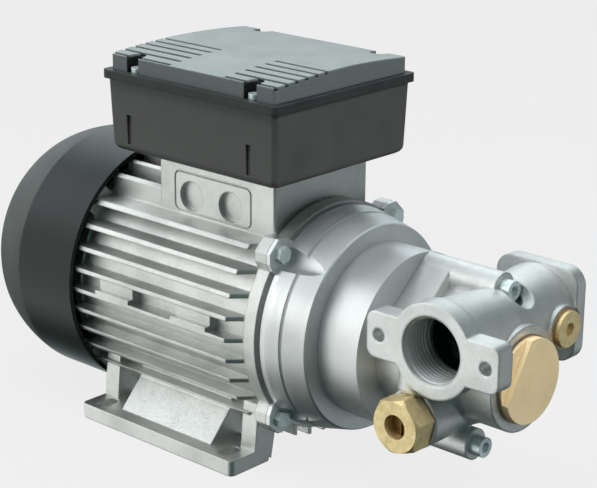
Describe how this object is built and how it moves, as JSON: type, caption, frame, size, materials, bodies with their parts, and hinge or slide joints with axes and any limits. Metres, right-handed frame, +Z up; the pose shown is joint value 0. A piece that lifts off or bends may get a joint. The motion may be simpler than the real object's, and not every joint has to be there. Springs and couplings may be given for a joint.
{
  "type": "electric gear pump",
  "caption": "Foot-mounted electric motor with a finned frame, black fan cover and terminal box, close-coupled to an internal gear pump with two threaded ports.",
  "frame": {"origin": "centre of the four foot slots, on the underside of the feet", "axes": "+Z up, the shaft lies along Y with the pump towards -Y and the fan towards +Y, the inlet port faces -X and the outlet port faces +X"},
  "size_m": [0.137, 0.3294, 0.1987],
  "materials": {
    "frame_alu": "sand-dull die casting",
    "shield_alu": "turned and cast, satin",
    "housing_alu": "turned, satin",
    "head_alu": "die casting with machined faces",
    "cage_alu": "cast",
    "core_steel": "laminated electrical sheet",
    "winding": "enamelled copper wire",
    "steel": "ground",
    "ball_steel": "polished",
    "sintered": "sintered steel, oiled",
    "zinc_screw": "zinc plated",
    "fan_plastic": "moulded",
    "cover_gloss": "glossy black",
    "box_plastic": "dark grey, lightly textured",
    "lid_plastic": "dark grey, lightly textured",
    "block_plastic": "moulded",
    "capacitor_case": "moulded",
    "seal_rubber": "dull",
    "brass": "turned, slightly dulled",
    "brass_plug": "turned face, slightly dulled",
    "copper_seal": "dull copper",
    "bush_bronze": "bronze"
  },
  "bodies": {
    "pump": {"motor_frame": "frame_alu", "stator_core": "core_steel", "stator_windings": "winding", "front_end_shield": "shield_alu", "rear_end_shield": "shield_alu", "shield_bolts": "zinc_screw", "rear_shield_screws": "zinc_screw", "front_bearing_outer": "steel", "rear_bearing_outer": "steel", "wave_washer": "steel", "fan_cover": "cover_gloss", "box_gasket": "seal_rubber", "terminal_box": "box_plastic", "terminal_box_screws": "zinc_screw", "terminal_lid": "lid_plastic", "lid_gasket": "seal_rubber", "lid_screws": "zinc_screw", "terminal_block": "block_plastic", "terminal_studs": "brass", "capacitor": "capacitor_case", "capacitor_strap": "zinc_screw", "shaft_seal": "seal_rubber", "gear_housing": "housing_alu", "pump_bush": "bush_bronze", "housing_oring": "seal_rubber", "pump_head": "head_alu", "pump_screws": "zinc_screw", "front_plug": "brass_plug", "front_plug_seal": "copper_seal", "relief_nut": "brass", "relief_nut_seal": "copper_seal", "relief_adjuster": "bush_bronze", "relief_spring": "steel", "gauge_plug": "brass", "gauge_plug_seal": "copper_seal"},
    "rotor": {"shaft": "steel", "rotor_core": "core_steel", "rotor_cage": "cage_alu", "fan": "fan_plastic", "fan_clip": "steel", "front_bearing_inner": "steel", "rear_bearing_inner": "steel", "inner_rotor": "sintered", "drive_key": "steel"},
    "outer_gear": {"outer_rotor": "sintered"},
    "front_balls": {"front_bearing_balls": "ball_steel"},
    "rear_balls": {"rear_bearing_balls": "ball_steel"},
    "relief_valve": {"relief_piston": "steel"}
  },
  "joints": [
    {"name": "rotor_spin", "type": "hinge", "parent": "pump", "child": "rotor", "pos_m": [0, 0, 0.071], "axis": [0, 1, 0], "continuous": true},
    {"name": "outer_rotor_spin", "type": "hinge", "parent": "pump", "child": "outer_gear", "pos_m": [0, 0, 0.0688], "axis": [0, 1, 0], "continuous": true},
    {"name": "front_cage_spin", "type": "hinge", "parent": "pump", "child": "front_balls", "pos_m": [0, 0, 0.071], "axis": [0, 1, 0], "continuous": true},
    {"name": "rear_cage_spin", "type": "hinge", "parent": "pump", "child": "rear_balls", "pos_m": [0, 0, 0.071], "axis": [0, 1, 0], "continuous": true},
    {"name": "relief_slide", "type": "slide", "parent": "pump", "child": "relief_valve", "axis": [-1, 0, 0], "range_m": [0, 0.004], "stiffness_N_per_m": 3000, "springref_m": -0.006, "deforming": ["relief_spring"]}
  ],
  "couplings": [
    {"joint": "outer_rotor_spin", "follows": "rotor_spin", "ratio": 0.85714},
    {"joint": "front_cage_spin", "follows": "rotor_spin", "ratio": 0.382},
    {"joint": "rear_cage_spin", "follows": "rotor_spin", "ratio": 0.382}
  ]
}
